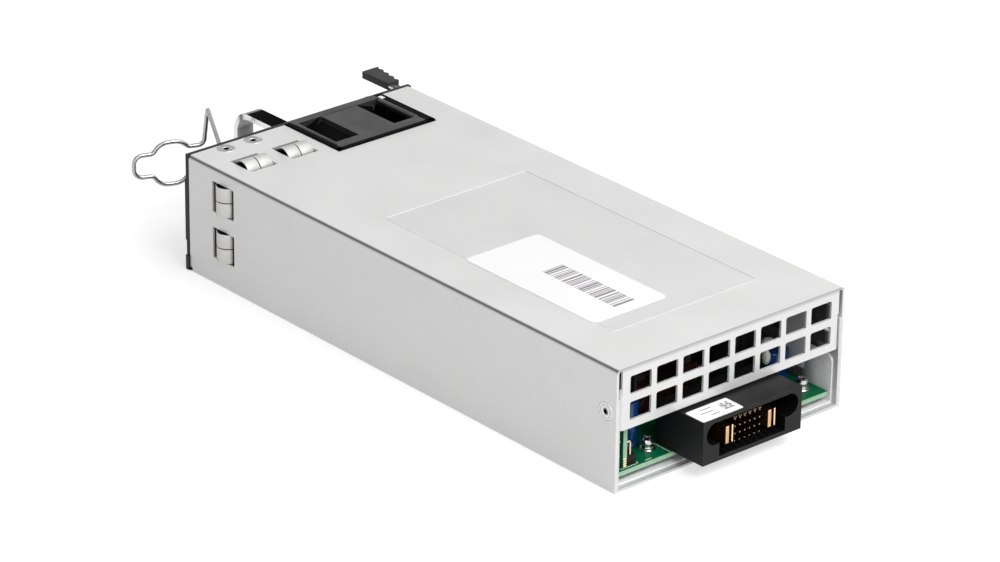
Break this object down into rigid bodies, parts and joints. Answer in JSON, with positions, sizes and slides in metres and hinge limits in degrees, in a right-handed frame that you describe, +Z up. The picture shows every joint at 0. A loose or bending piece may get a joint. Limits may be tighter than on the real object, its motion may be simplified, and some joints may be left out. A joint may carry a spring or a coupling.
{
  "type": "hot swap server power supply",
  "caption": "Slim rack power module: folded steel casing with rear grille and board connector, cooling fan, cord inlet with wire bail, pull handle and pressed side latch.",
  "frame": {"origin": "middle of the casing's bottom face", "axes": "+X across the casing towards the cord inlet's side, +Y from the front panel to the output connector, +Z up"},
  "size_m": [0.0961, 0.2548, 0.0417],
  "materials": {
    "cover_steel": "plated, satin",
    "tray_steel": "plated, satin",
    "black_paint": "matt",
    "rivet_steel": "plated",
    "bright_nickel": "bright",
    "clear_film": "milky",
    "board_green": "solder resist",
    "zinc_steel": "zinc plated",
    "black_moulding": "moulded",
    "gold_plate": "gold plated",
    "fan_plastic": "moulded",
    "shaft_steel": "ground",
    "copper_coil": "enamelled copper",
    "bail_steel": "bright wire",
    "handle_steel": "polished",
    "grip_plastic": "moulded",
    "light_plastic": "clear",
    "blue_sleeve": "sleeve",
    "black_sleeve": "sleeve",
    "ferrite": "ferrite",
    "yellow_core": "coated powder core",
    "tape_yellow": "tape",
    "sink_aluminium": "plain",
    "white_box": "moulded",
    "fuse_ceramic": "plain"
  },
  "bodies": {
    "casing": {"top_cover": "cover_steel", "base_tray": "tray_steel", "front_panel": "black_paint", "cover_rivets": "rivet_steel", "emi_fingers_top": "bright_nickel", "emi_fingers_left": "bright_nickel", "emi_fingers_right": "bright_nickel", "insulator_tray": "clear_film", "main_board": "board_green", "board_posts": "zinc_steel", "flat_washers": "zinc_steel", "lock_washers": "zinc_steel", "board_screws": "zinc_steel", "output_connector": "black_moulding", "power_blades": "gold_plate", "signal_pins": "gold_plate", "fan_frame": "fan_plastic", "fan_bearings": "shaft_steel", "fan_stator": "copper_coil", "fan_screws": "zinc_steel", "inlet_housing": "black_moulding", "inlet_contacts": "gold_plate", "pull_handle": "handle_steel", "handle_rivets": "rivet_steel", "latch_pivot": "zinc_steel", "status_light": "light_plastic", "control_card": "board_green", "card_header": "black_moulding", "header_pins": "gold_plate", "filter_capacitor": "blue_sleeve", "output_capacitors": "blue_sleeve", "bulk_capacitors": "black_sleeve", "output_choke_core": "yellow_core", "output_choke_winding": "copper_coil", "boost_choke_core": "ferrite", "boost_choke_winding": "copper_coil", "filter_choke_core": "ferrite", "filter_choke_winding": "copper_coil", "transformer_core": "ferrite", "transformer_winding": "tape_yellow", "output_heatsink": "sink_aluminium", "primary_heatsink": "sink_aluminium", "power_transistors": "black_moulding", "inrush_relay": "black_moulding", "film_capacitors": "white_box", "line_fuse": "fuse_ceramic", "bridge_rectifier": "black_moulding", "moulded_choke": "black_moulding"},
    "rotor": {"fan_rotor": "fan_plastic", "fan_shaft": "shaft_steel"},
    "bail": {"cord_bail": "bail_steel"},
    "latch": {"latch_lever": "tray_steel", "latch_grip": "grip_plastic"}
  },
  "joints": [
    {"name": "fan_spin", "type": "hinge", "parent": "casing", "child": "rotor", "pos_m": [-0.01325, -0.0895, 0.02065], "axis": [0, 1, 0], "continuous": true},
    {"name": "bail_swing", "type": "hinge", "parent": "casing", "child": "bail", "pos_m": [0.0308, -0.1046, 0.02], "axis": [0, 0, 1], "range_deg": [-10, 90]},
    {"name": "latch_press", "type": "hinge", "parent": "casing", "child": "latch", "pos_m": [-0.0398, -0.08, 0.038], "axis": [0, 0, 1], "range_deg": [0, 13], "stiffness_Nm_per_rad": 0.4, "springref_deg": -2.86}
  ]
}
